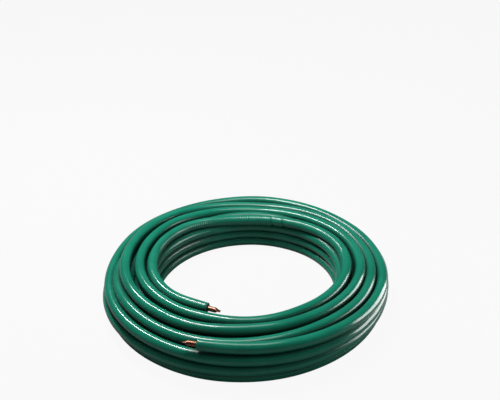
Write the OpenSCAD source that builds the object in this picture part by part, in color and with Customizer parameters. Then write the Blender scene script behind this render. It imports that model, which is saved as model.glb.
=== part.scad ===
// Coil of copper tube in a soft insulation sleeve, lying on its end.
// The wound turns are one turned solid with a bore, and the last layer is a
// spiral of whole tubes that starts and ends in a bare, pinched copper end.
// Origin: on the coil's axis, at the floor. +Z runs up along the axis.

/* [Copper tube] */
// Outside diameter of the tube
tube_d = 9.52; // [6:0.01:12]
// Wall of the tube
tube_wall = 0.8; // [0.5:0.05:1.2]
// Round length of each bare end, from the sleeve to the pinch
bare_l = 15; // [8:1:40]
// Length over which each end is pinched from round to flat
pinch_l = 7; // [4:1:12]
// Length of the flat lip at the tip of each pinch
lip_l = 4; // [2:0.5:8]
// Turn of the inner end's lip about the tube
inner_lip_turn = -20; // [-90:1:90]
// Turn of the outer end's lip about the tube
outer_lip_turn = 35; // [-90:1:90]

/* [Insulation sleeve] */
// Thickness of the sleeve round the tube
sleeve_t = 6; // [4:0.5:9]
// Room all round the tube in the sleeve's cut ends
tube_clearance = 0.15; // [0.05:0.05:0.3]
// Depth to which each bare end is seated in the sleeve
seat_l = 30; // [10:1:34]

/* [Winding] */
// Clear bore of the coil
bore_d = 352; // [320:1:420]
// Turns side by side in a full layer
full_turns = 5; // [4:1:6]
// Full layers between the bottom layer and the top spiral
full_layers = 2; // [1:1:4]
// Turns side by side in the bottom layer
bottom_turns = 4; // [3:1:5]
// Set-back of the bottom layer's outer turn
bottom_recess = 8; // [0:1:14]
// Depth by which turns side by side press into each other
turn_press = 1.6; // [0.8:0.1:3]
// Open space between the two inner turns of the top spiral
top_inner_gap = 1.5; // [0.5:0.5:6]
// Open space between the second and the third turn of the top spiral
top_middle_gap = 4.5; // [1:0.5:6]
// Open space between the third and the outer turn of the top spiral, at the front
top_outer_gap = 5; // [3.5:0.5:9]
// How much nearer to the axis the outer turn is at the back, and further at the right
top_oval = 3; // [0:0.5:3]
// Angle round the coil, from the right, at which the outer turn starts to rise
rise_from_angle = 150; // [135:1:165]
// Angle round the coil at which the outer turn lies on top
rise_to_angle = 75; // [60:1:90]
// Depth to which a turn that sinks runs on into the layer below
sink_depth = 6; // [4:0.5:8]
// Depth by which a layer presses into the one below
layer_press = 0.9; // [0.6:0.1:2]
// Depth of the flats that the weight presses on the floor
floor_press = 0.4; // [0.2:0.1:1]

/* [Free ends] */
// Bend radius of the inner end where it curls into the bore
curl_r = 148; // [120:1:170]
// Open space between the inner end and the first turn
inner_end_gap = 0.5; // [0.2:0.1:4]
// Straight run at the inner end
inner_straight_l = 36; // [35:1:50]
// Straight run at the outer end
outer_straight_l = 94; // [60:1:130]

/* [Hidden] */
$fn = 96;

sleeve_d = tube_d + 2 * sleeve_t;
sleeve_r = sleeve_d / 2;
turn_pitch = sleeve_d - turn_press;
layer_pitch = sleeve_d - layer_press;
first_turn_r = bore_d / 2 + sleeve_r;
outer_turn_r = first_turn_r + (full_turns - 1) * turn_pitch;
bottom_outer_r = outer_turn_r - bottom_recess;
bottom_pitch = (bottom_outer_r - first_turn_r) / (bottom_turns - 1);

// Heights of the tube centres, with the bottom turns pressed into the floor
bottom_z = sleeve_r - floor_press;
function layer_z(layer) = bottom_z + layer * layer_pitch;
last_full_z = layer_z(full_layers);
top_z = layer_z(full_layers + 1);

// Turns of the top spiral, from the bore outwards
inner_top_r = first_turn_r;
middle_top_r = inner_top_r + sleeve_d + top_inner_gap;
third_top_r = middle_top_r + sleeve_d + top_middle_gap;
outer_front_r = third_top_r + sleeve_d + top_outer_gap;
outer_back_r = outer_front_r - top_oval;
outer_right_r = outer_front_r + top_oval;

// The third turn sinks from the right, by the front, to the left, into the turn beside the outermost one
sink_drop = layer_pitch + sink_depth;
sink_bend_r = (third_top_r + outer_turn_r - turn_pitch) / 2;

// The outer turn keeps the bend of the outermost one that it rises from, as far as the right
back_bend_r = outer_turn_r;
back_bend_x = outer_right_r - back_bend_r;
back_bend_y = outer_back_r - back_bend_r;
front_bend_r = outer_front_r + back_bend_y;
front_bend_x = outer_right_r - front_bend_r;

// The inner end curls until its straight run is clear of the first turn
curl_angle = acos(1 - (sleeve_d + inner_end_gap) / (inner_top_r - curl_r));

// A step from one turn to the next is a wide bend that runs on into a tight one
tight_bend_share = 0.7;
function tight_r(to_r) = to_r * tight_bend_share;
function wide_r(from_r, to_r) =
    ((to_r - tight_r(to_r)) ^ 2 + from_r ^ 2 - tight_r(to_r) ^ 2) / (2 * (from_r - tight_r(to_r)));
function meeting_angle(from_r, to_r) =
    180 + atan2(wide_r(from_r, to_r) - from_r, to_r - tight_r(to_r));

// A pinched lip is two tube walls flat on each other
lip_t = 2 * tube_wall;
tip_x = bare_l + pinch_l + lip_l;
overrun = 1;
// The pinch's slope starts this far up the tube, where it is still clear of it
pinch_lead = overrun * pinch_l / (tube_d / 2 - lip_t / 2);

// Each bend runs a short way into the one before it, and is slimmer by this much so that they join
joint_lap = 3;
joint_slim = 0.05;
function lap_angle(bend_r) = joint_lap / bend_r * 180 / PI;

sleeve_colour = [0.11, 0.42, 0.31];
copper_colour = [0.72, 0.45, 0.34];

// Section of the turned solid: the turns, and the packed middle between their centres
module winding_section() {
    polygon([
        [first_turn_r, bottom_z],
        [bottom_outer_r, bottom_z],
        [outer_turn_r, layer_z(1)],
        [outer_turn_r, last_full_z],
        [first_turn_r, last_full_z],
    ]);
    for (turn = [0 : bottom_turns - 1])
        translate([first_turn_r + turn * bottom_pitch, bottom_z])
            circle(d = sleeve_d);
    for (layer = [1 : full_layers], turn = [0 : full_turns - 1])
        translate([first_turn_r + turn * turn_pitch, layer_z(layer)])
            circle(d = sleeve_d);
}

// One bend of the sleeved tube in the top layer, round an upright axis
module top_bend(centre, bend_r, from_angle, to_angle, joints = 0) {
    translate([centre.x, centre.y, top_z])
        rotate([0, 0, from_angle])
            rotate_extrude(angle = to_angle - from_angle)
                translate([bend_r, 0])
                    circle(r = sleeve_r - joints * joint_slim);
}

// A top turn from the front, round the right and the back, to the left
module top_turn(turn_r) {
    top_bend([0, 0], turn_r, -90, 180);
}

// One bend that is level in the top layer at one angle, and sinks into the layer below towards another
module sinking_bend(centre, bend_r, level_angle, end_angle, joints) {
    swing = end_angle - level_angle;
    lap = lap_angle(bend_r);
    tilt = asin(sink_drop / (bend_r * (1 - cos(swing))));
    translate([centre.x, centre.y, top_z])
        rotate([0, 0, level_angle])
            translate([bend_r, 0, 0])
                rotate([0, -tilt, 0])
                    translate([-bend_r, 0, 0])
                        rotate([0, 0, min(swing, -lap)])
                            rotate_extrude(angle = abs(swing) + lap)
                                translate([bend_r, 0])
                                    circle(r = sleeve_r - joints * joint_slim);
}

// The third top turn: level round the back, and sunk at the front
module third_top_turn() {
    top_bend([0, 0], third_top_r, 0, 180);
    sinking_bend([third_top_r - sink_bend_r, 0], sink_bend_r, 0, -180, 1);
}

// The outer top turn: it rises at the back, out of the layer below, and runs by the right to the front
module outer_top_turn() {
    sinking_bend([back_bend_x, back_bend_y], back_bend_r, rise_to_angle, rise_from_angle, 1);
    top_bend([back_bend_x, back_bend_y], back_bend_r, 0, rise_to_angle);
    top_bend([front_bend_x, back_bend_y], front_bend_r, -90, lap_angle(front_bend_r), 2);
}

// The front left quarter, where a turn steps out to the next one
module top_step(from_r, to_r) {
    wide = wide_r(from_r, to_r);
    tight = tight_r(to_r);
    meeting = meeting_angle(from_r, to_r);
    top_bend([0, wide - from_r], wide, meeting, 270 + lap_angle(wide), 1);
    top_bend([tight - to_r, 0], tight, 180 - lap_angle(tight), meeting + lap_angle(tight), 2);
}

// The inner end: it curls off the first turn into the bore
module inner_curl() {
    top_bend([curl_r - inner_top_r, 0], curl_r, 180 - lap_angle(curl_r), 180 + curl_angle, 1);
}

// Places its children at the inner end: at the cut of the sleeve, +X out of it
module at_inner_cut() {
    translate([curl_r - inner_top_r, 0, top_z])
        rotate([0, 0, 90 + curl_angle])
            translate([0, curl_r, 0])
                rotate([0, 0, 180])
                    translate([inner_straight_l, 0, 0])
                        children();
}

// Places its children at the outer end: at the cut of the sleeve, +X out of it
module at_outer_cut() {
    translate([front_bend_x - outer_straight_l, -outer_front_r, top_z])
        rotate([0, 0, 180])
            children();
}

// A rod along X from one place to another
module rod(d, from_x, to_x) {
    translate([from_x, 0, 0])
        rotate([0, 90, 0])
            cylinder(d = d, h = to_x - from_x);
}

// The bore that a bare end is seated in, open at the cut
module tube_seat() {
    rod(tube_d + 2 * tube_clearance, -seat_l, overrun);
}

// Side view of a bare end above its axis: clear of the round tube, then down to the lip
pinch_outline = [
    [-seat_l - overrun, tube_d / 2 + overrun],
    [bare_l - pinch_lead, tube_d / 2 + overrun],
    [bare_l + pinch_l, lip_t / 2],
    [tip_x + overrun, lip_t / 2],
];

// A bare end: round tube out of its seat, pinched flat at the tip
module bare_end(lip_turn) {
    below = [for (i = [len(pinch_outline) - 1 : -1 : 0]) [pinch_outline[i].x, -pinch_outline[i].y]];
    difference() {
        intersection() {
            rod(tube_d, -seat_l, tip_x);
            rotate([90 + lip_turn, 0, 0])
                linear_extrude(height = 2 * tube_d, center = true)
                    polygon(concat(pinch_outline, below));
        }
        rod(tube_d - 2 * tube_wall, -seat_l - overrun, bare_l - tube_wall);
    }
}

module insulation_sleeve() {
    color(sleeve_colour)
        difference() {
            union() {
                rotate_extrude()
                    winding_section();
                inner_curl();
                top_turn(inner_top_r);
                top_step(inner_top_r, middle_top_r);
                top_turn(middle_top_r);
                top_step(middle_top_r, third_top_r);
                third_top_turn();
                outer_top_turn();
                at_inner_cut()
                    rod(sleeve_d - 4 * joint_slim, -inner_straight_l - joint_lap, 0);
                at_outer_cut()
                    rod(sleeve_d - 6 * joint_slim, -outer_straight_l - joint_lap, 0);
            }
            translate([0, 0, -sleeve_d])
                cylinder(r = outer_turn_r + sleeve_d, h = sleeve_d);
            at_inner_cut()
                tube_seat();
            at_outer_cut()
                tube_seat();
        }
}

module copper_inner_end() {
    color(copper_colour)
        at_inner_cut()
            bare_end(inner_lip_turn);
}

module copper_outer_end() {
    color(copper_colour)
        at_outer_cut()
            bare_end(outer_lip_turn);
}

insulation_sleeve();
copper_inner_end();
copper_outer_end();
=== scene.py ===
"""Dresses the insulated tube coil: the wound foam sleeve and the two bare, pinched copper ends.

Sizes are in millimetres and angles in degrees. The stage, its lamps and its camera are in metres.
"""

import logging
import math
from dataclasses import dataclass, field
from enum import Enum
from typing import Any, Union

import bpy
import numpy as np
from mathutils import Matrix, Vector, kdtree

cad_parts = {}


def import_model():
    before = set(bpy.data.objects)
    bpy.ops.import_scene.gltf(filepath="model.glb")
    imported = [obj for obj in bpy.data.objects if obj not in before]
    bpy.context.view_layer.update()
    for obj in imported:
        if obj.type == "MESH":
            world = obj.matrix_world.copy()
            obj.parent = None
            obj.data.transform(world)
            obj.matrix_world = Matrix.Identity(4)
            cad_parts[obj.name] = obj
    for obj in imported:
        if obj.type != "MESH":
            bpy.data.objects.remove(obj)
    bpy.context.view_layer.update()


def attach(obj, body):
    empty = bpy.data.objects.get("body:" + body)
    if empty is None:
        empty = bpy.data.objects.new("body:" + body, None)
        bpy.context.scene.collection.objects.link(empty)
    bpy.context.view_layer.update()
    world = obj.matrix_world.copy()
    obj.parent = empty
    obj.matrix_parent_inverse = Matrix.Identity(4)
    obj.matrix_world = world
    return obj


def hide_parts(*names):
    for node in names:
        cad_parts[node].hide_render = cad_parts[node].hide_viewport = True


LOG = logging.getLogger("tube_coil")
MM = 0.001
NEAR_TIP = 1e-5
SAME_PLACE = 1e-6

Colour = tuple[float, float, float, float]
Triple = tuple[float, float, float]
Pair = tuple[float, float]
Owner = Union[bpy.types.Material, bpy.types.World]

WHITE: Colour = (1.0, 1.0, 1.0, 1.0)


class Slot(Enum):
    """Material slots of the part's record."""

    INSULATION = "insulation"
    COPPER = "copper"


class Socket:
    """A shader value that takes part in sums, so that the maths reads as Python."""

    def __init__(self, finish: "NodeFinish", link: Any) -> None:
        """Wraps one output socket.

        Args:
            finish: The nodes that the socket belongs to.
            link: The output socket.
        """
        self.finish = finish
        self.link = link

    def _math(self, operation: str, first: Any, second: Any) -> "Socket":
        """Adds one Math node and returns its value."""
        return self.finish.node("ShaderNodeMath", {"operation": operation}, {0: first, 1: second})

    def __add__(self, other: Any) -> "Socket":
        """Sum."""
        return self._math("ADD", self, other)

    def __radd__(self, other: Any) -> "Socket":
        """Reflected sum."""
        return self._math("ADD", other, self)

    def __mul__(self, other: Any) -> "Socket":
        """Product."""
        return self._math("MULTIPLY", self, other)

    def __rmul__(self, other: Any) -> "Socket":
        """Reflected product."""
        return self._math("MULTIPLY", other, self)

    def clamped(self) -> "Socket":
        """The value held between 0 and 1."""
        return self._math("MINIMUM", self._math("MAXIMUM", self, 0.0), 1.0)


class NodeFinish:
    """The nodes of a material or of the surroundings, built up from code."""

    def __init__(self, owner: Owner) -> None:
        """Starts with no nodes.

        Args:
            owner: The material or world that the nodes belong to.
        """
        owner.use_nodes = True
        self.owner = owner
        self.tree = owner.node_tree
        self.tree.nodes.clear()

    def node(
        self, kind: str, settings: dict[str, Any], values: dict[Any, Any], output: Any = 0
    ) -> Socket:
        """Adds one node.

        Args:
            kind: Blender's type name of the node.
            settings: Properties that are set first.
            values: Values or links of the input sockets, by name or number.
            output: The output that is returned.

        Returns:
            The chosen output, or an empty socket for a node that has none.
        """
        made = self.tree.nodes.new(kind)
        for key, value in settings.items():
            setattr(made, key, value)
        for key, value in values.items():
            if isinstance(value, Socket):
                self.tree.links.new(value.link, made.inputs[key])
            else:
                made.inputs[key].default_value = value
        return Socket(self, made.outputs[output] if made.outputs else None)

    def noise(self, place: Any, scale: float, detail: float = 2.0, roughness: float = 0.5) -> Socket:
        """Adds a noise texture.

        Args:
            place: The coordinates.
            scale: Cells in a metre.
            detail: Octaves.
            roughness: Share of the finer octaves.

        Returns:
            The noise, from 0 to 1.
        """
        values = {"Vector": place, "Scale": scale, "Detail": detail, "Roughness": roughness}
        return self.node("ShaderNodeTexNoise", {}, values)

    def stretched(self, place: Any, scale: Triple) -> Socket:
        """Coordinates scaled along each axis."""
        return self.node("ShaderNodeMapping", {}, {"Vector": place, "Scale": scale})

    def mixed(self, share: Any, first: Any, second: Any) -> Socket:
        """A colour between two colours.

        Args:
            share: Share of the second colour.
            first: The first colour.
            second: The second colour.

        Returns:
            The mixed colour.
        """
        values = {0: share, 6: first, 7: second}
        return self.node("ShaderNodeMix", {"data_type": "RGBA"}, values, output=2)

    def ramped(self, value: Any, low: float, high: float) -> Socket:
        """A value spread from 0 at low to 1 at high."""
        return self.node("ShaderNodeMapRange", {"clamp": True}, {0: value, 1: low, 2: high})

    def attribute(self, name: str) -> Socket:
        """A value that the mesh carries."""
        return self.node("ShaderNodeAttribute", {"attribute_name": name}, {}, output="Fac")

    def bump(self, height: Any, strength: float, distance: float, under: Any = None) -> Socket:
        """Adds a bump.

        Args:
            height: The height, from 0 to 1.
            strength: Its strength.
            distance: The depth of a height of 1, in metres.
            under: Another bump that this one lies on.

        Returns:
            The bumped normal.
        """
        values = {"Height": height, "Strength": strength, "Distance": distance}
        if under is not None:
            values["Normal"] = under
        return self.node("ShaderNodeBump", {}, values)

    def path(self, ray: str) -> Socket:
        """Whether the light path's last ray is of a kind, such as Is Camera Ray."""
        return self.node("ShaderNodeLightPath", {}, {}, output=ray)

    def surface(self, values: dict[str, Any]) -> Owner:
        """Ends a material in a Principled shader.

        Args:
            values: Values or links of the shader's sockets.

        Returns:
            The finished material.
        """
        return self.ended("ShaderNodeOutputMaterial", self.node("ShaderNodeBsdfPrincipled", {}, values))

    def ended(self, kind: str, shader: Socket) -> Owner:
        """Links the last shader to an output node.

        Args:
            kind: Blender's type name of the output node.
            shader: The shader that shows.

        Returns:
            The finished material or world.
        """
        self.node(kind, {}, {"Surface": shader})
        return self.owner


@dataclass(frozen=True)
class SleeveSkin:
    """The glossy green skin of the foam sleeve, with the dull foam of its cut ends and painted shade in
    its grooves.
    """

    light: Colour = (0.008, 0.205, 0.128, 1.0)
    deep: Colour = (0.004, 0.148, 0.090, 1.0)
    foam: Colour = (0.020, 0.095, 0.060, 1.0)
    scuff: Colour = (0.10, 0.26, 0.19, 1.0)
    # groove: near-black painted shade, mixed in where the shade attribute marks a deep groove
    groove: Colour = (0.0012, 0.018, 0.011, 1.0)
    patch_cells: float = 16.0
    streak_cells: Triple = (9.0, 260.0, 1.0)
    rib_cells: Triple = (330.0, 38.0, 1.0)
    wave_cells: Triple = (6.0, 34.0, 1.0)
    scuff_cells: Triple = (40.0, 420.0, 1.0)
    patch_share: float = 0.55
    streak_share: float = 0.45
    tone_span: Pair = (0.34, 0.66)
    scuff_span: Pair = (0.66, 0.80)
    scuff_share: float = 0.22
    groove_shade_share: float = 0.78
    clean_roughness: float = 0.12
    patch_roughness: float = 0.08
    scuff_roughness: float = 0.10
    crease_roughness: float = 0.14
    groove_roughness: float = 0.25
    cut_roughness: float = 0.5
    rib_strength: float = 0.45
    wave_strength: float = 0.05
    relief: float = 0.0008
    ior: float = 1.48

    def material(self) -> bpy.types.Material:
        """Builds the skin: soft streaks along the tube, fine creases across it, a few scuffs and painted
        shade in the grooves.

        Returns:
            The material.
        """
        skin = NodeFinish(bpy.data.materials.new("green_foam_skin"))
        along = skin.node("ShaderNodeUVMap", {"uv_map": "length"}, {})
        place = skin.node("ShaderNodeTexCoord", {}, {}, output="Object")
        crease = skin.attribute("crease")
        cut = skin.attribute("cut")
        shade = skin.attribute("shade")

        patches = skin.noise(place, self.patch_cells, 3.0)
        streaks = skin.noise(skin.stretched(along, self.streak_cells), 1.0, 3.0)
        ribs = skin.noise(skin.stretched(along, self.rib_cells), 1.0, 2.0)
        waves = skin.noise(skin.stretched(along, self.wave_cells), 1.0, 1.0)
        scuffs = skin.noise(skin.stretched(along, self.scuff_cells), 1.0, 4.0, 0.65)

        tone = (patches * self.patch_share + streaks * self.streak_share).clamped()
        green = skin.mixed(skin.ramped(tone, *self.tone_span), self.deep, self.light)
        scuffed = skin.ramped(scuffs, *self.scuff_span)
        green = skin.mixed(scuffed * self.scuff_share, green, self.scuff)
        # Painted shade: the colour darkens towards near-black deep in the grooves between turns
        green = skin.mixed(shade * self.groove_shade_share, green, self.groove)
        colour = skin.mixed(cut, green, self.foam)

        rough = (
            self.clean_roughness + self.patch_roughness * patches + self.scuff_roughness * scuffed
            + self.crease_roughness * crease * crease + self.groove_roughness * shade
            + self.cut_roughness * cut
        )
        ripple = skin.bump(ribs * crease, self.rib_strength, self.relief)
        ripple = skin.bump(waves, self.wave_strength, self.relief, ripple)
        return skin.surface({
            "Base Color": colour,
            "Roughness": rough.clamped(),
            "IOR": self.ior,
            "Normal": ripple,
        })


@dataclass(frozen=True)
class CopperSkin:
    """Drawn copper: warm, softly brushed along the tube and browned where it is handled."""

    bright: Colour = (0.30, 0.135, 0.088, 1.0)
    brown: Colour = (0.075, 0.026, 0.016, 1.0)
    patch_cells: float = 170.0
    drawn_cells: Triple = (60.0, 2600.0, 1.0)
    tarnish_span: Pair = (0.38, 0.66)
    tarnish_share: float = 0.60
    squeezed_share: float = 0.40
    clean_roughness: float = 0.28
    patch_roughness: float = 0.16
    squeezed_roughness: float = 0.10
    drawn_strength: float = 0.25
    relief: float = 0.0003

    def material(self) -> bpy.types.Material:
        """Builds the copper.

        Returns:
            The material.
        """
        copper = NodeFinish(bpy.data.materials.new("drawn_copper"))
        place = copper.node("ShaderNodeTexCoord", {}, {}, output="Object")
        along = copper.node("ShaderNodeUVMap", {"uv_map": "length"}, {})
        patches = copper.noise(place, self.patch_cells, 3.0)
        drawn = copper.noise(copper.stretched(along, self.drawn_cells), 1.0, 2.0)
        squeezed = copper.attribute("squeezed")
        browned = copper.ramped(patches, *self.tarnish_span)
        tarnish = (browned * self.tarnish_share + squeezed * self.squeezed_share).clamped()
        rough = (
            self.clean_roughness + self.patch_roughness * patches + self.squeezed_roughness * squeezed
        )
        return copper.surface({
            "Base Color": copper.mixed(tarnish, self.bright, self.brown),
            "Metallic": 1.0,
            "Roughness": rough.clamped(),
            "Normal": copper.bump(drawn, self.drawn_strength, self.relief),
        })


@dataclass(frozen=True)
class Station:
    """One place that the tube's centre passes through, in the coil's own polar frame."""

    azimuth: float
    radius: float
    height: float


@dataclass
class Winding:
    """The route of the tube: from the inner end, clockwise, through all its turns to the outer end."""

    # Heights of the four layers, and radii of the turns in the upper ones and in the lowest
    levels: tuple[float, ...] = (10.36, 30.98, 51.60, 72.22)
    columns: tuple[float, ...] = (187.0, 207.0, 227.5, 247.0, 268.5)
    bottom_columns: tuple[float, ...] = (184.5, 209.0, 233.0, 260.0)
    # How oval the plan is and how the turns sway, each wave with its rate, phase and share
    oval: float = 5.0
    oval_azimuth: float = 225.0
    sway: float = 0.9
    sway_ease: float = 40.0
    sway_waves: tuple[Triple, ...] = ((1.37, 0.0, 0.6), (3.11, 1.0, 0.4))
    # How deep the third turn sinks, and where the lower turns keep their place or cross to the next
    sink: float = 10.2
    stack_from: float = -930.0
    first_stop: float = -1110.0
    crossing: float = 60.0
    last_hold: float = 150.0
    outer_hold: float = 300.0
    # The sag at the back, as a share of the height, and the turn that surfaces there
    sag: float = 0.165
    sag_reach: float = 75.0
    surfacing: float = 16.0
    surfacing_reach: float = 55.0
    # The two cut ends, and the bend and lift of the outer one
    inner_cut: Pair = (-70.21, -149.03)
    inner_way: Pair = (0.90193, -0.43189)
    inner_straight: float = 36.0
    inner_turn: float = 240.0
    outer_cut: Pair = (-84.0, -256.7)
    outer_way: Pair = (-0.9907, 0.136)
    outer_straight: float = 84.0
    outer_turn: float = -5860.0
    outer_bend: float = 0.0016
    outer_lift: float = 5.0
    lift_reach: float = 140.0
    # How finely the line is worked out and how its ends are brought to their cuts
    grid: float = 0.25
    soften: float = 4.5
    held_step: float = 15.0
    end_count: int = 9
    pin_points: int = 400
    pin_reach: float = 60.0
    way_points: int = 12

    def top_spiral(self) -> list[Station]:
        """The inner end and the turns that lie on top, as far as the turn that sinks.

        Returns:
            Stations by falling azimuth.
        """
        top, low = self.levels[3], self.levels[2]
        sunk = top - self.sink
        first = [
            (226, 173), (218, 177.5), (205, 181.5), (188, 184.5), (160, 186.5), (131, 190.5),
            (110, 186), (90, 182.5), (75, 185.5), (50, 191), (20, 196), (-5, 195),
        ]
        second = [
            (-36, 189), (-59, 186.5), (-72, 189), (-90, 191.4), (-113, 191.8), (-127, 196),
            (-142, 199), (-152, 202), (-173, 207), (-210, 214), (-229, 222), (-250, 223),
            (-270, 222.5), (-290, 222.5), (-320, 221), (-345, 222.5),
        ]
        third = [
            (-366, 222), (-380, 219), (-396, 214), (-420, 209.5), (-450, 211), (-462, 216), (-471, 221),
            (-480, 224), (-493, 226), (-503, 228.5), (-534, 236.5), (-560, 241), (-589, 250),
            (-610, 247), (-630, 243), (-650, 241.5), (-672, 241.5),
        ]
        sinking = [
            (-700, 240.5, top - 4), (-730, 241.5, top - 5), (-745, 240.5, top - 4.5),
            (-760, 238, top - 3.5), (-778, 235, top - 4), (-790, 235.5, top - 6), (-810, 239.5, top - 9),
            (-833, 247.5, sunk), (-867, 250.5, sunk - 1), (-894, 251, low + 5),
        ]
        level = [Station(azimuth, radius, top) for azimuth, radius in first + second + third]
        return level + [Station(*place) for place in sinking]

    def stacked(self) -> list[Station]:
        """The turns in the three lower layers, which run in, down, out and up again.

        Returns:
            Stations by falling azimuth.
        """
        floor, second, third, _ = self.levels
        inner, beside, middle, outer, outermost = self.columns
        bottom_inner, bottom_beside, bottom_middle, bottom_outer = self.bottom_columns
        inner_steps = [
            (outer, third), (middle, third), (beside, third), (inner, third), (inner, second),
            (bottom_inner, floor), (bottom_beside, floor), (bottom_middle, floor),
            (beside, second), (middle, second), (outer, second),
        ]
        outer_steps = [(bottom_outer, floor), (outermost, second)]
        stations: list[Station] = []
        begin, end = self.stack_from, self.first_stop
        for radius, height in inner_steps:
            last = (radius, height) == inner_steps[-1]
            stop = begin - self.last_hold if last else end
            rise = self.surfacing if (radius, height) == (beside, third) else 0.0
            stations += self.held(begin, stop, radius, height, rise)
            begin, end = stop - self.crossing, end - 360
        for radius, height in outer_steps:
            stop = begin - self.outer_hold
            stations += self.held(begin, stop, radius, height)
            begin = stop - self.crossing
        return stations + self.outer_rise(begin)

    def held(
        self, begin: float, stop: float, radius: float, height: float, rise: float = 0.0
    ) -> list[Station]:
        """Stations of a turn that keeps its place in the stack, on the coil's slightly oval plan.

        Args:
            begin: First azimuth.
            stop: Last azimuth, which is lower.
            radius: Mean radius.
            height: Height of the centre.
            rise: How much higher it lies at the back.

        Returns:
            Stations at even steps.
        """
        azimuths = np.linspace(begin, stop, max(2, round((begin - stop) / self.held_step) + 1))
        radii = radius + self.oval * np.cos(np.radians(2 * (azimuths - self.oval_azimuth)))
        heights = height + rise * self.at_back(azimuths, self.surfacing_reach)
        return [Station(*place) for place in zip(azimuths, radii, heights)]

    @staticmethod
    def at_back(azimuths: np.ndarray, reach: float) -> np.ndarray:
        """How near to the back of the coil a place is.

        Args:
            azimuths: Azimuths in degrees.
            reach: Angle to either side of the back at which this ends.

        Returns:
            Values from 0 to 1 at the back.
        """
        off = (azimuths + 90.0) % 360.0 - 180.0
        return np.where(np.abs(off) < reach, np.cos(np.radians(off * 90.0 / reach)) ** 2, 0.0)

    def outer_rise(self, begin: float) -> list[Station]:
        """The outermost turn, which climbs on top at the back and runs out into the outer end.

        Args:
            begin: Azimuth at which the turn is in its place.

        Returns:
            Stations by falling azimuth.
        """
        third, top = self.levels[2], self.levels[3]
        climbing = [
            (0, 267, -7.0), (30, 266, -5.0), (60, 265, 0.0), (90, 266, 0.0), (120, 267, 0.0),
            (150, 268, 0.0), (195, 270, 0.0), (225, 268, 0.0), (240, 265.5, 0.0), (255, 265, 3.0),
            (270, 266, 6.5), (285, 267.5, 9.5), (300, 269, 12.5), (315, 271, 16.0),
        ]
        on_top = [
            (330, 270, 0.0), (342, 270, 0.0), (355, 267, -1.0), (368, 262.5, -2.5), (380, 260.5, -4.5),
            (400, 260.5, -7.5), (415, 262, -8.5), (425, 263, -8.0), (437, 264, -6.5), (450, 264, -4.5),
            (475, 263, -2.0), (490, 263, -0.5),
        ]
        stations = [Station(begin - turn, radius, third + lift) for turn, radius, lift in climbing]
        return stations + [Station(begin - turn, radius, top + lift) for turn, radius, lift in on_top]

    def end_stations(
        self, cut: Pair, way: Pair, length: float, bend: float, turn: float
    ) -> list[Station]:
        """The run up to a cut end, as polar stations.

        Args:
            cut: The middle of the cut.
            way: Direction out of the cut.
            length: Length of the run.
            bend: Its curvature, in radians per millimetre.
            turn: Azimuth that the run lies near, counted on through the turns.

        Returns:
            Stations from the cut inwards.
        """
        stations = []
        for back in np.linspace(0.0, length, self.end_count):
            aside = bend * back * back / 2
            x = cut[0] - way[0] * back + way[1] * aside
            y = cut[1] - way[1] * back - way[0] * aside
            azimuth = math.degrees(math.atan2(y, x))
            azimuth += 360.0 * round((turn - azimuth) / 360.0)
            stations.append(Station(azimuth, math.hypot(x, y), self.levels[3]))
        return stations

    def centres(self) -> tuple[np.ndarray, np.ndarray]:
        """Works out the tube's centre line.

        Returns:
            Points in millimetres from the inner cut to the outer cut, and their azimuths.
        """
        inner = self.end_stations(
            self.inner_cut, self.inner_way, self.inner_straight, 0.0, self.inner_turn)
        outer = self.end_stations(
            self.outer_cut, self.outer_way, self.outer_straight, self.outer_bend, self.outer_turn)[::-1]
        stations = inner + self.top_spiral() + self.stacked() + outer
        stations.sort(key=lambda s: -s.azimuth)
        azimuths = np.array([s.azimuth for s in stations])
        fine = np.arange(azimuths[0], azimuths[-1], -self.grid)
        fine = np.append(fine, azimuths[-1])
        radius = np.interp(-fine, -azimuths, [s.radius for s in stations])
        height = np.interp(-fine, -azimuths, [s.height for s in stations])
        radius, height = self.softened(radius), self.softened(height)
        floor = self.levels[0]
        height = floor + (height - floor) * (1.0 - self.sag * self.at_back(fine, self.sag_reach))
        turned = np.radians(fine)
        ease = np.clip(np.minimum(fine[0] - fine, fine - fine[-1]) / self.sway_ease, 0.0, 1.0)
        swing = sum(np.sin(turned * rate + phase) * share for rate, phase, share in self.sway_waves)
        radius = radius + self.sway * ease * swing
        points = np.column_stack((radius * np.cos(turned), radius * np.sin(turned), height))
        points = self.pinned(points, 0, np.array([*self.inner_cut, self.levels[3]]))
        points = self.pinned(points, -1, np.array([*self.outer_cut, self.levels[3]]))
        steps = np.linalg.norm(np.diff(points, axis=0), axis=1)
        left = np.concatenate((np.cumsum(steps[::-1])[::-1], [0.0]))
        points[:, 2] += self.outer_lift * np.clip(1.0 - left / self.lift_reach, 0.0, 1.0) ** 2
        return points, fine

    def way_out(self, line: np.ndarray) -> np.ndarray:
        """Direction in which the tube leaves its cut.

        Args:
            line: The centre line, from the cut inwards.

        Returns:
            The unit direction.
        """
        way = line[0] - line[self.way_points - 1]
        return way / np.linalg.norm(way)

    def softened(self, values: np.ndarray) -> np.ndarray:
        """Rounds the corners of a run of values.

        Args:
            values: Values on the fine grid.

        Returns:
            The values after a bell-shaped blur, with their ends kept.
        """
        half = round(3 * self.soften / self.grid)
        bell = np.exp(-0.5 * (np.arange(-half, half + 1) * self.grid / self.soften) ** 2)
        head = 2 * values[0] - values[half:0:-1]
        tail = 2 * values[-1] - values[-2:-half - 2:-1]
        return np.convolve(np.concatenate((head, values, tail)), bell / bell.sum(), mode="valid")

    def pinned(self, points: np.ndarray, which: int, target: np.ndarray) -> np.ndarray:
        """Moves one end of the line exactly onto its cut, fading out along the line.

        Args:
            points: The centre line.
            which: 0 for the first point, -1 for the last.
            target: Where that point belongs.

        Returns:
            The moved line.
        """
        reach = np.linalg.norm(points - points[which], axis=1)
        index = np.arange(len(points))
        near = index < self.pin_points if which == 0 else index > len(points) - self.pin_points
        fade = np.where(near, np.exp(-(reach / self.pin_reach) ** 2), 0.0)
        return points + fade[:, None] * (target - points[which])


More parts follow.
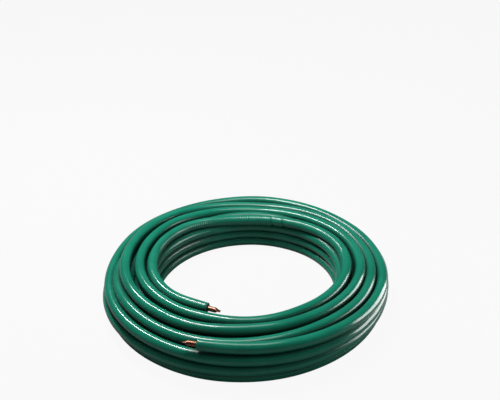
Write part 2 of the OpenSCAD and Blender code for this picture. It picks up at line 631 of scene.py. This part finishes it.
@dataclass(frozen=True)
class Wave:
    """One wave along the tube, and round it if it turns, that makes the foam less even."""

    height: float
    length: float
    phase: float = 0.0
    around: int = 0

    def at(self, along: np.ndarray, turned: np.ndarray) -> np.ndarray:
        """The wave at each length along the tube and angle round it."""
        return self.height * np.sin(along / self.length + self.phase + self.around * turned)


@dataclass(frozen=True)
class Sweep:
    """The rings of a swept tube and what they carry."""

    rings: np.ndarray
    creases: np.ndarray
    cuts: np.ndarray
    lengths: np.ndarray


@dataclass
class InsulationSleeve:
    """The foam sleeve: one tube swept along the whole winding, cut square at both ends."""

    winding: Winding = field(default_factory=Winding)
    skin: SleeveSkin = field(default_factory=SleeveSkin)
    # The section and the bored, slightly rounded ends
    radius: float = 10.76
    bore: float = 4.91
    bore_depth: float = 26.0
    edge: float = 0.5
    edge_start: float = 0.12
    cut_lead: float = 0.4
    cut_ring: float = 2.0
    cut_marks: tuple[float, ...] = (1.0, 1.0, 1.0, 1.0, 0.6)
    sides: int = 16
    # Distance from ring to ring, by azimuth
    spacing: float = 5.0
    hidden_turns: Pair = (-960.0, -4560.0)
    hidden_spacing: float = 14.0
    lower_turns: Pair = (-4560.0, -5300.0)
    lower_spacing: float = 7.0
    creased_spacing: float = 2.0
    first_turn: Pair = (240.0, -40.0)
    first_spacing: float = 1.05
    inner_end: Pair = (240.0, 222.0)
    inner_end_spacing: float = 2.5
    # Where the sleeve is creased, and how deep
    creased_first: Pair = (235.0, -40.0)
    first_fades: Pair = (30.0, 50.0)
    creased_wall: Pair = (-1850.0, -2950.0)
    wall_fades: Pair = (40.0, 40.0)
    wall_share: float = 0.7
    press_gain: float = 0.8
    press_base: float = 0.35
    crease_depth: float = 1.0
    crease_spacing: float = 5.0
    crease_bends: tuple[Wave, ...] = (Wave(1.3, 37.0, 0.8), Wave(0.8, 13.7), Wave(0.5, 29.0, around=2))
    crease_strength: float = 0.55
    crease_changes: tuple[Wave, ...] = (Wave(0.30, 19.3, 0.4), Wave(0.15, 7.9, around=1))
    crease_limits: Pair = (0.1, 1.0)
    kinks: tuple[float, ...] = (72.4, 64.5)
    kink_share: float = 1.8
    # How much slimmer the ends are, and how uneven the foam is
    slim_end: float = 0.9
    slim_reach: float = 28.0
    swells: tuple[Wave, ...] = (Wave(0.16, 61.0), Wave(0.12, 23.0, around=2))
    # How far out a groove is felt for, and the depth at which its painted shade is darkest
    probe: float = 10.0
    probe_step: int = 4
    full_shade: float = 11.0

    def build(self) -> bpy.types.Object:
        """Sweeps the sleeve and dresses it.

        Returns:
            The sleeve.
        """
        points, azimuths = self.winding.centres()
        steps = np.linalg.norm(np.diff(points, axis=0), axis=1)
        run = np.concatenate(([0.0], np.cumsum(steps)))
        stops = self.ring_stops(run, azimuths)
        centres = np.column_stack([np.interp(stops, run, points[:, k]) for k in range(3)])
        angles = np.interp(stops, run, azimuths)
        LOG.info("tube length %.2f m in %d rings", run[-1] * MM, len(stops))
        piece = self.skinned(self.swept(centres, angles, stops))
        self.shaded(piece.data, points)
        piece.data.materials.append(self.skin.material())
        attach(piece, "root")
        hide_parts("insulation_sleeve")
        return piece

    def creased(self, azimuths: np.ndarray) -> np.ndarray:
        """How strongly the sleeve is creased: on the inner end, its first turn and the bore's wall.

        Args:
            azimuths: Azimuths counted on through the turns.

        Returns:
            Values from 0 to 1.
        """
        first = self.faded(azimuths, self.creased_first, *self.first_fades)
        wall = self.wall_share * self.faded(azimuths, self.creased_wall, *self.wall_fades)
        return np.maximum(first, wall)

    @staticmethod
    def faded(azimuths: np.ndarray, span: Pair, fade_in: float, fade_out: float) -> np.ndarray:
        """A share that is 1 in a span of azimuths and fades at both its ends.

        Args:
            azimuths: Azimuths counted on through the turns.
            span: Its first azimuth and its last, which is lower.
            fade_in: Angle over which the share rises.
            fade_out: Angle over which it falls.

        Returns:
            Values from 0 to 1.
        """
        begin, stop = span
        return np.clip((begin - azimuths) / fade_in, 0, 1) * np.clip((azimuths - stop) / fade_out, 0, 1)

    @staticmethod
    def within(azimuths: np.ndarray, span: Pair) -> np.ndarray:
        """Which azimuths lie in a span that is given from its higher end to its lower."""
        begin, stop = span
        return (azimuths < begin) & (azimuths > stop)

    def ring_stops(self, run: np.ndarray, azimuths: np.ndarray) -> np.ndarray:
        """Chooses where the rings of the sweep stand: close in the creases, wide where nothing shows.

        Args:
            run: Length along the centre line.
            azimuths: Azimuths of the same points.

        Returns:
            Lengths along the centre line.
        """
        spacing = np.full(len(run), self.spacing)
        spacing[self.within(azimuths, self.hidden_turns)] = self.hidden_spacing
        spacing[self.within(azimuths, self.lower_turns)] = self.lower_spacing
        spacing[self.creased(azimuths) > 0.0] = self.creased_spacing
        spacing[self.within(azimuths, self.first_turn)] = self.first_spacing
        spacing[self.within(azimuths, self.inner_end)] = self.inner_end_spacing
        stretch = np.concatenate(([0.0], np.cumsum(np.diff(run) / spacing[1:])))
        count = int(stretch[-1])
        return np.interp(np.linspace(0.0, stretch[-1], count), stretch, run)

    def swept(self, centres: np.ndarray, azimuths: np.ndarray, stops: np.ndarray) -> Sweep:
        """Lays the rings of the sweep, with the two bored ends.

        Args:
            centres: Centre of each ring.
            azimuths: Azimuth of each ring.
            stops: Length along the tube of each ring.

        Returns:
            Points of all rings, the crease at each point, and the cut mark and the length of each ring.
        """
        ahead = np.gradient(centres, axis=0)
        ahead /= np.linalg.norm(ahead, axis=1)[:, None]
        side = np.cross(ahead, np.array([0.0, 0.0, 1.0]))
        side /= np.linalg.norm(side, axis=1)[:, None]
        over = np.cross(side, ahead)
        turned = np.linspace(0.0, 2 * math.pi, self.sides, endpoint=False)
        level_part = side[:, None, :] * np.cos(turned)[None, :, None]
        facing = level_part + over[:, None, :] * np.sin(turned)[None, :, None]

        angle = np.radians(azimuths)
        outward = np.column_stack((np.cos(angle), np.sin(angle), np.zeros(len(angle))))
        inward = -np.einsum("ijk,ik->ij", facing, outward)
        inner_side = np.clip(inward * self.press_gain + self.press_base, 0.0, 1.0)
        pressed = self.creased(azimuths)[:, None] * inner_side
        depth = self.wrinkles(stops, azimuths, turned) * pressed
        nearest = np.minimum(stops, stops[-1] - stops)
        depth += self.slim_end * np.exp(-(nearest / self.slim_reach) ** 2)[:, None]
        swell = sum(wave.at(stops[:, None], turned[None, :]) for wave in self.swells)
        radius = self.radius + swell - depth
        body = centres[:, None, :] + facing * radius[:, :, None]
        body[:, :, 2] = np.maximum(body[:, :, 2], 0.0)

        rim = self.radius - self.slim_end
        body[0] = centres[0] + ahead[0] * self.edge + facing[0] * rim
        body[-1] = centres[-1] - ahead[-1] * self.edge + facing[-1] * rim
        head = self.bored_end(centres[0], ahead[0], facing[0])
        tail = self.bored_end(centres[-1], -ahead[-1], facing[-1])[::-1]
        marks = np.array(self.cut_marks)
        smooth = np.zeros((len(marks), self.sides))
        first, last = np.full(len(marks), stops[0]), np.full(len(marks), stops[-1])
        return Sweep(
            rings=np.concatenate((head, body, tail)),
            creases=np.concatenate((smooth, pressed, smooth)),
            cuts=np.concatenate((marks, np.zeros(len(body)), marks[::-1])),
            lengths=np.concatenate((first, stops, last)),
        )

    def bored_end(self, centre: np.ndarray, into: np.ndarray, facing: np.ndarray) -> np.ndarray:
        """Lays the rings of one bored end, from the bottom of the bore to the rounded edge.

        Args:
            centre: Middle of the cut.
            into: Direction into the tube.
            facing: Directions round the tube.

        Returns:
            Points of the rings.
        """
        rim = self.radius - self.slim_end
        shape = (
            (self.bore_depth, self.bore), (self.cut_lead, self.bore), (0.0, self.bore + self.cut_lead),
            (0.0, rim - self.cut_ring), (self.edge_start, rim - self.edge),
        )
        return np.array([centre + into * back + facing * wide for back, wide in shape])

    def wrinkles(self, stops: np.ndarray, azimuths: np.ndarray, turned: np.ndarray) -> np.ndarray:
        """Depth of the creases that bending presses into the sleeve.

        Args:
            stops: Length along the tube of each ring.
            azimuths: Azimuth of each ring.
            turned: Angle round the tube of each side.

        Returns:
            Depths in millimetres, by ring and side.
        """
        along, around = stops[:, None], turned[None, :]
        bent = sum(wave.at(along, around) for wave in self.crease_bends)
        folds = 0.5 + 0.5 * np.sin(2 * math.pi * along / self.crease_spacing + bent)
        strong = sum((wave.at(along, around) for wave in self.crease_changes), self.crease_strength)
        kinks = sum(np.exp(-(azimuths[:, None] - at) ** 2) for at in self.kinks)
        fine = folds ** 2 * np.clip(strong, *self.crease_limits)
        return self.crease_depth * (fine + self.kink_share * kinks)

    def skinned(self, sweep: Sweep) -> bpy.types.Object:
        """Joins the rings into one closed mesh.

        Args:
            sweep: The rings, in millimetres.

        Returns:
            The sleeve's object, at the origin.
        """
        count = len(sweep.rings)
        numbers = np.arange(count * self.sides).reshape(count, self.sides)
        after = np.roll(numbers, -1, axis=1)
        quads = np.stack((numbers[:-1], numbers[1:], after[1:], after[:-1]), axis=-1).reshape(-1, 4)
        caps = [list(map(int, numbers[0])), list(map(int, numbers[-1][::-1]))]
        mesh = bpy.data.meshes.new("foam_sleeve")
        mesh.from_pydata((sweep.rings.reshape(-1, 3) * MM).tolist(), [], quads.tolist() + caps)
        carried = {"crease": sweep.creases.reshape(-1), "cut": np.repeat(sweep.cuts, self.sides)}
        for name, values in carried.items():
            layer = mesh.attributes.new(name, "FLOAT", "POINT")
            layer.data.foreach_set("value", values.astype(np.float32))
        self.unrolled(mesh, sweep.lengths)
        mesh.polygons.foreach_set("use_smooth", np.ones(len(mesh.polygons), dtype=bool))
        piece = bpy.data.objects.new("foam_sleeve", mesh)
        bpy.context.collection.objects.link(piece)
        bpy.ops.object.select_all(action="DESELECT")
        piece.select_set(True)
        bpy.context.view_layer.objects.active = piece
        bpy.ops.object.mode_set(mode="EDIT")
        bpy.ops.mesh.select_all(action="SELECT")
        bpy.ops.mesh.normals_make_consistent(inside=False)
        bpy.ops.object.mode_set(mode="OBJECT")
        return piece

    def shaded(self, mesh: bpy.types.Mesh, line: np.ndarray) -> None:
        """Marks how deep each place lies in a groove, for the painted shade that darkens the skin there.

        Args:
            mesh: The sleeve's mesh.
            line: The centre line, in millimetres.
        """
        sparse = line[::self.probe_step] * MM
        tree = kdtree.KDTree(len(sparse))
        for number, point in enumerate(sparse):
            tree.insert(point, number)
        tree.balance()
        probe, full = self.probe * MM, self.full_shade * MM
        own = self.radius * MM + probe
        depths = [(own - tree.find(v.co + v.normal * probe)[2]) / full for v in mesh.vertices]
        layer = mesh.attributes.new("shade", "FLOAT", "POINT")
        layer.data.foreach_set("value", np.clip(depths, 0.0, 1.0).astype(np.float32))

    def unrolled(self, mesh: bpy.types.Mesh, lengths: np.ndarray) -> None:
        """Writes the UV map: metres along the tube and metres round it.

        Args:
            mesh: The sleeve's mesh.
            lengths: Length along the tube of each ring, in millimetres.
        """
        layer = mesh.uv_layers.new(name="length")
        corner = np.zeros(len(mesh.loops), dtype=np.int32)
        mesh.loops.foreach_get("vertex_index", corner)
        ring, place = corner // self.sides, corner % self.sides
        round_share = place.astype(float)
        body = (len(mesh.polygons) - 2) * 4
        quad_places = place[:body].reshape(-1, 4)
        wraps = (quad_places.max(axis=1) - quad_places.min(axis=1)) > 1
        shares = round_share[:body].reshape(-1, 4)
        shares[wraps[:, None] & (quad_places == 0)] = self.sides
        round_share[:body] = shares.reshape(-1)
        around = round_share / self.sides * 2 * math.pi * self.radius * MM
        places = np.column_stack((lengths[ring] * MM, around)).reshape(-1)
        layer.data.foreach_set("uv", places.astype(np.float32))


@dataclass
class BareEnd:
    """One bare copper end: round out of the sleeve, then squeezed flat with a slit left at its tip."""

    name: str
    node: str
    cut: np.ndarray
    way: np.ndarray
    lip_turn: float
    slant: float
    tube_d: float = 9.52
    wall: float = 0.8
    seat: float = 24.0
    bare: float = 15.0
    pinch: float = 7.0
    lip: float = 4.0
    lip_width: float = 10.6
    lip_thick: float = 2.3
    lip_taper: float = 0.02
    trim: float = 1.0
    pinch_steps: tuple[float, ...] = (0.14, 0.30, 0.48, 0.66, 0.82, 0.93, 1.0)
    lip_steps: tuple[float, ...] = (0.5, 1.0, 1.35)
    edge_round: float = 0.15
    edge_segments: int = 2
    edge_angle: float = 50.0
    smooth_angle: float = 45.0
    sides: int = 32

    def build(self, finish: bpy.types.Material) -> bpy.types.Object:
        """Models the end along X, places it at its cut and dresses it.

        Args:
            finish: The copper.

        Returns:
            The copper end.
        """
        bpy.ops.object.select_all(action="DESELECT")
        length = (self.seat + self.bare) * MM
        bpy.ops.mesh.primitive_cylinder_add(
            vertices=self.sides, radius=self.tube_d / 2 * MM, depth=length, end_fill_type="NOTHING",
            location=((self.bare - self.seat) / 2 * MM, 0, 0), rotation=(0, math.pi / 2, 0))
        piece = bpy.context.active_object
        piece.name = piece.data.name = self.name
        bpy.ops.object.transform_apply(location=True, rotation=True, scale=True)
        self.squeeze(piece)
        self.finish_shape(piece)
        self.place(piece)
        self.mark(piece)
        piece.data.materials.append(finish)
        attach(piece, "root")
        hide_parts(self.node)
        return piece

    def squeeze(self, piece: bpy.types.Object) -> None:
        """Extrudes the open end ring by ring and presses each ring flatter and wider.

        Args:
            piece: The round tube along X.
        """
        bpy.ops.object.mode_set(mode="EDIT")
        bpy.ops.mesh.select_mode(type="EDGE")
        bpy.ops.mesh.select_all(action="DESELECT")
        bpy.ops.object.mode_set(mode="OBJECT")
        tip = max(v.co.x for v in piece.data.vertices)
        for edge in piece.data.edges:
            edge.select = all(piece.data.vertices[i].co.x > tip - NEAR_TIP for i in edge.vertices)
        bpy.ops.object.mode_set(mode="EDIT")
        done, width, thick, at = 0.0, self.tube_d, self.tube_d, self.bare
        for share in self.pinch_steps:
            eased = share * share * (3 - 2 * share)
            new_width = self.tube_d + (self.lip_width - self.tube_d) * eased
            new_thick = self.tube_d + (self.lip_thick - self.tube_d) * eased
            self.extruded((share - done) * self.pinch, new_width / width, new_thick / thick, at)
            at += (share - done) * self.pinch
            done, width, thick = share, new_width, new_thick
        for share in self.lip_steps:
            self.extruded(self.lip / 2, 1.0, 1.0 - self.lip_taper * share, at)
            at += self.lip / 2
        bpy.ops.mesh.select_all(action="SELECT")
        lean = math.radians(self.slant)
        end = (self.bare + self.pinch + self.lip - self.trim) * MM
        bpy.ops.mesh.bisect(
            plane_co=(end, 0, 0), plane_no=(math.cos(lean), math.sin(lean), 0),
            clear_outer=True, use_fill=False)
        bpy.ops.object.mode_set(mode="OBJECT")

    @staticmethod
    def extruded(length: float, wider: float, thicker: float, at: float) -> None:
        """Extrudes the selected ring along X and scales the new ring.

        Args:
            length: How far, in millimetres.
            wider: Factor on its width.
            thicker: Factor on its thickness.
            at: Where the ring stood along X.
        """
        bpy.ops.mesh.extrude_region_move(TRANSFORM_OT_translate={"value": (length * MM, 0, 0)})
        bpy.ops.transform.resize(value=(1.0, wider, thicker), center_override=((at + length) * MM, 0, 0))

    def finish_shape(self, piece: bpy.types.Object) -> None:
        """Gives the shell its wall and rounds the cut edges.

        Args:
            piece: The squeezed shell.
        """
        bpy.ops.object.mode_set(mode="EDIT")
        bpy.ops.mesh.select_all(action="SELECT")
        bpy.ops.mesh.remove_doubles(threshold=SAME_PLACE)
        bpy.ops.mesh.normals_make_consistent(inside=False)
        bpy.ops.object.mode_set(mode="OBJECT")
        wall = piece.modifiers.new("wall", "SOLIDIFY")
        wall.thickness = self.wall * MM
        wall.offset = -1.0
        bpy.ops.object.modifier_apply(modifier=wall.name)
        edge = piece.modifiers.new("edge", "BEVEL")
        edge.width = self.edge_round * MM
        edge.segments = self.edge_segments
        edge.limit_method = "ANGLE"
        edge.angle_limit = math.radians(self.edge_angle)
        bpy.ops.object.modifier_apply(modifier=edge.name)
        bpy.ops.object.shade_smooth_by_angle(angle=math.radians(self.smooth_angle))

    def place(self, piece: bpy.types.Object) -> None:
        """Turns the lip, points the end out of its cut and moves it there.

        Args:
            piece: The copper end along X.
        """
        heading = Matrix.Rotation(math.atan2(self.way[1], self.way[0]), 4, "Z")
        pitch = Matrix.Rotation(-math.asin(self.way[2]), 4, "Y")
        turn = Matrix.Rotation(math.radians(self.lip_turn), 4, "X")
        piece.data.transform(Matrix.Translation(Vector(self.cut) * MM) @ heading @ pitch @ turn)
        piece.data.update()

    def mark(self, piece: bpy.types.Object) -> None:
        """Writes the UV map along the tube and the mark of the squeezed tip.

        Args:
            piece: The placed copper end.
        """
        mesh = piece.data
        flat = np.zeros(len(mesh.vertices) * 3)
        mesh.vertices.foreach_get("co", flat)
        places = flat.reshape(-1, 3) - self.cut * MM
        along = places @ self.way
        across = places @ np.array([-self.way[1], self.way[0], 0.0])
        around = np.arctan2(places[:, 2], across) * self.tube_d / 2 * MM
        squeezed = np.clip((along / MM - self.bare) / self.pinch, 0.0, 1.0)
        layer = mesh.attributes.new("squeezed", "FLOAT", "POINT")
        layer.data.foreach_set("value", squeezed.astype(np.float32))
        for old in list(mesh.uv_layers):
            mesh.uv_layers.remove(old)
        uv = mesh.uv_layers.new(name="length")
        corner = np.zeros(len(mesh.loops), dtype=np.int32)
        mesh.loops.foreach_get("vertex_index", corner)
        unrolled = np.column_stack((along[corner], around[corner])).reshape(-1)
        uv.data.foreach_set("uv", unrolled.astype(np.float32))


@dataclass(frozen=True)
class SoftBox:
    """One lamp of the stage: a lit rectangle that the camera doesn't see."""

    name: str
    place: Triple
    aim: Triple
    size: Pair
    power: float
    along: Triple = (1.0, 0.0, 0.0)
    diffuse: bool = True
    glossy: bool = True

    def hang(self) -> None:
        """Hangs the lamp, pointed at its aim, with its width near its own direction."""
        light = bpy.data.lights.new(self.name, "AREA")
        light.shape = "RECTANGLE"
        light.size, light.size_y = self.size
        light.energy = self.power
        lamp = bpy.data.objects.new(self.name, light)
        bpy.context.collection.objects.link(lamp)
        lamp.location = self.place
        lamp.visible_camera = False
        lamp.visible_diffuse = self.diffuse
        lamp.visible_glossy = self.glossy
        back = (Vector(self.place) - Vector(self.aim)).normalized()
        height = back.cross(Vector(self.along)).normalized()
        lamp.rotation_euler = Matrix((height.cross(back), height, back)).transposed().to_euler()


@dataclass
class Studio:
    """The pale floor, the soft lights and the camera."""

    camera_place: Triple = (0.0, -1.3254, 0.9363)
    tilt_down: float = 28.66
    swing: float = -0.285
    lens: float = 58.0
    sensor: float = 36.0
    white_share: float = 0.93
    floor_size: float = 12.0
    floor_grey: Colour = (0.22, 0.22, 0.22, 1.0)
    floor_mirrored: float = 0.02
    right_mirrored: float = 0.60
    right_lean: float = 0.3
    right_span: Pair = (0.15, 0.45)
    air_strength: float = 0.05
    air_mirrored: float = 0.02
    boxes: tuple[SoftBox, ...] = (
        SoftBox(
            "strip_left", place=(-0.50, 0.565, 1.34), aim=(0.0, 0.0, 0.05), size=(1.10, 0.10),
            power=28.0, along=(-0.81, 1.0, -0.70)),
        SoftBox(
            "panel_right", place=(0.78, 0.03, 0.18), aim=(0.0, -0.16, 0.12), size=(0.62, 0.36),
            power=7.0, along=(-0.3, 0.95, 0.0), diffuse=False),
        SoftBox(
            "overhead", place=(-0.25, 0.25, 1.8), aim=(0.0, 0.0, 0.0), size=(1.2, 1.0), power=14.5),
        SoftBox(
            "front_fill", place=(0.1, -1.3, 0.35), aim=(0.0, -0.2, 0.05), size=(1.2, 0.5),
            power=1.4, glossy=False),
        SoftBox(
            "right_fill", place=(0.80, -0.10, 0.30), aim=(0.1, -0.12, 0.05), size=(0.6, 0.4),
            power=1.6, along=(0.0, 1.0, 0.0), glossy=False),
    )

    def build(self) -> None:
        """Sets up the whole stage."""
        bpy.context.scene.view_settings.view_transform = "Standard"
        self.floor()
        self.world()
        for box in self.boxes:
            box.hang()
        self.camera()

    def floor(self) -> None:
        """Lays the floor: white to the camera, with a faint shadow, and paler in gloss at the right."""
        bpy.ops.object.select_all(action="DESELECT")
        bpy.ops.mesh.primitive_plane_add(size=self.floor_size, location=(0, 0, 0))
        plane = bpy.context.active_object
        plane.name = "studio_floor"
        finish = NodeFinish(bpy.data.materials.new("pale_floor"))
        seen = finish.path("Is Camera Ray") + finish.path("Is Transmission Ray")
        mirrored = finish.path("Is Glossy Ray")
        plain = finish.node("ShaderNodeBsdfDiffuse", {}, {"Color": self.floor_grey})
        white = finish.node("ShaderNodeEmission", {}, {"Color": WHITE, "Strength": 1.0})
        place = finish.node("ShaderNodeTexCoord", {}, {}, output="Object")
        x = finish.node("ShaderNodeSeparateXYZ", {}, {0: place}, output="X")
        y = finish.node("ShaderNodeSeparateXYZ", {}, {0: place}, output="Y")
        right = finish.ramped(x + self.right_lean * y, *self.right_span)
        paler = self.floor_mirrored + self.right_mirrored * right
        share = (seen * self.white_share + mirrored * paler).clamped()
        mix = finish.node("ShaderNodeMixShader", {}, {0: share, 1: plain, 2: white})
        plane.data.materials.append(finish.ended("ShaderNodeOutputMaterial", mix))

    def world(self) -> None:
        """Makes the surroundings white to the camera and softly grey to the object."""
        air = NodeFinish(bpy.data.worlds.new("studio_air"))
        seen = air.path("Is Camera Ray") + air.path("Is Transmission Ray")
        share = (seen + self.air_mirrored * air.path("Is Glossy Ray")).clamped()
        soft = air.node("ShaderNodeBackground", {}, {"Color": WHITE, "Strength": self.air_strength})
        white = air.node("ShaderNodeBackground", {}, {"Color": WHITE, "Strength": 1.0})
        mix = air.node("ShaderNodeMixShader", {}, {0: share, 1: soft, 2: white})
        bpy.context.scene.world = air.ended("ShaderNodeOutputWorld", mix)

    def camera(self) -> None:
        """Puts the camera at the photograph's viewing angle."""
        data = bpy.data.cameras.new("photo_view")
        data.lens = self.lens
        data.sensor_width = self.sensor
        camera = bpy.data.objects.new("photo_view", data)
        bpy.context.collection.objects.link(camera)
        camera.location = self.camera_place
        camera.rotation_euler = (math.radians(90 - self.tilt_down), 0.0, math.radians(self.swing))
        bpy.context.scene.camera = camera


def main() -> None:
    """Builds the stage, the sleeve and the copper ends, and notes the sizes."""
    logging.basicConfig(level=logging.INFO, format="%(name)s: %(message)s")
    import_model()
    Studio().build()
    winding = Winding()
    sleeve = InsulationSleeve(winding)
    pieces = [sleeve.build()]
    copper = CopperSkin().material()
    line, _ = winding.centres()
    inner_way, outer_way = winding.way_out(line), winding.way_out(line[::-1])
    ends = (
        BareEnd("copper_end_inner", "copper_inner_end", line[0], inner_way, lip_turn=-20.0, slant=14.0),
        BareEnd("copper_end_outer", "copper_outer_end", line[-1], outer_way, lip_turn=35.0, slant=6.0),
    )
    pieces += [end.build(copper) for end in ends]
    for piece in pieces:
        LOG.info("%s: %d faces", piece.name, len(piece.data.polygons))


if __name__ == "__main__":
    main()
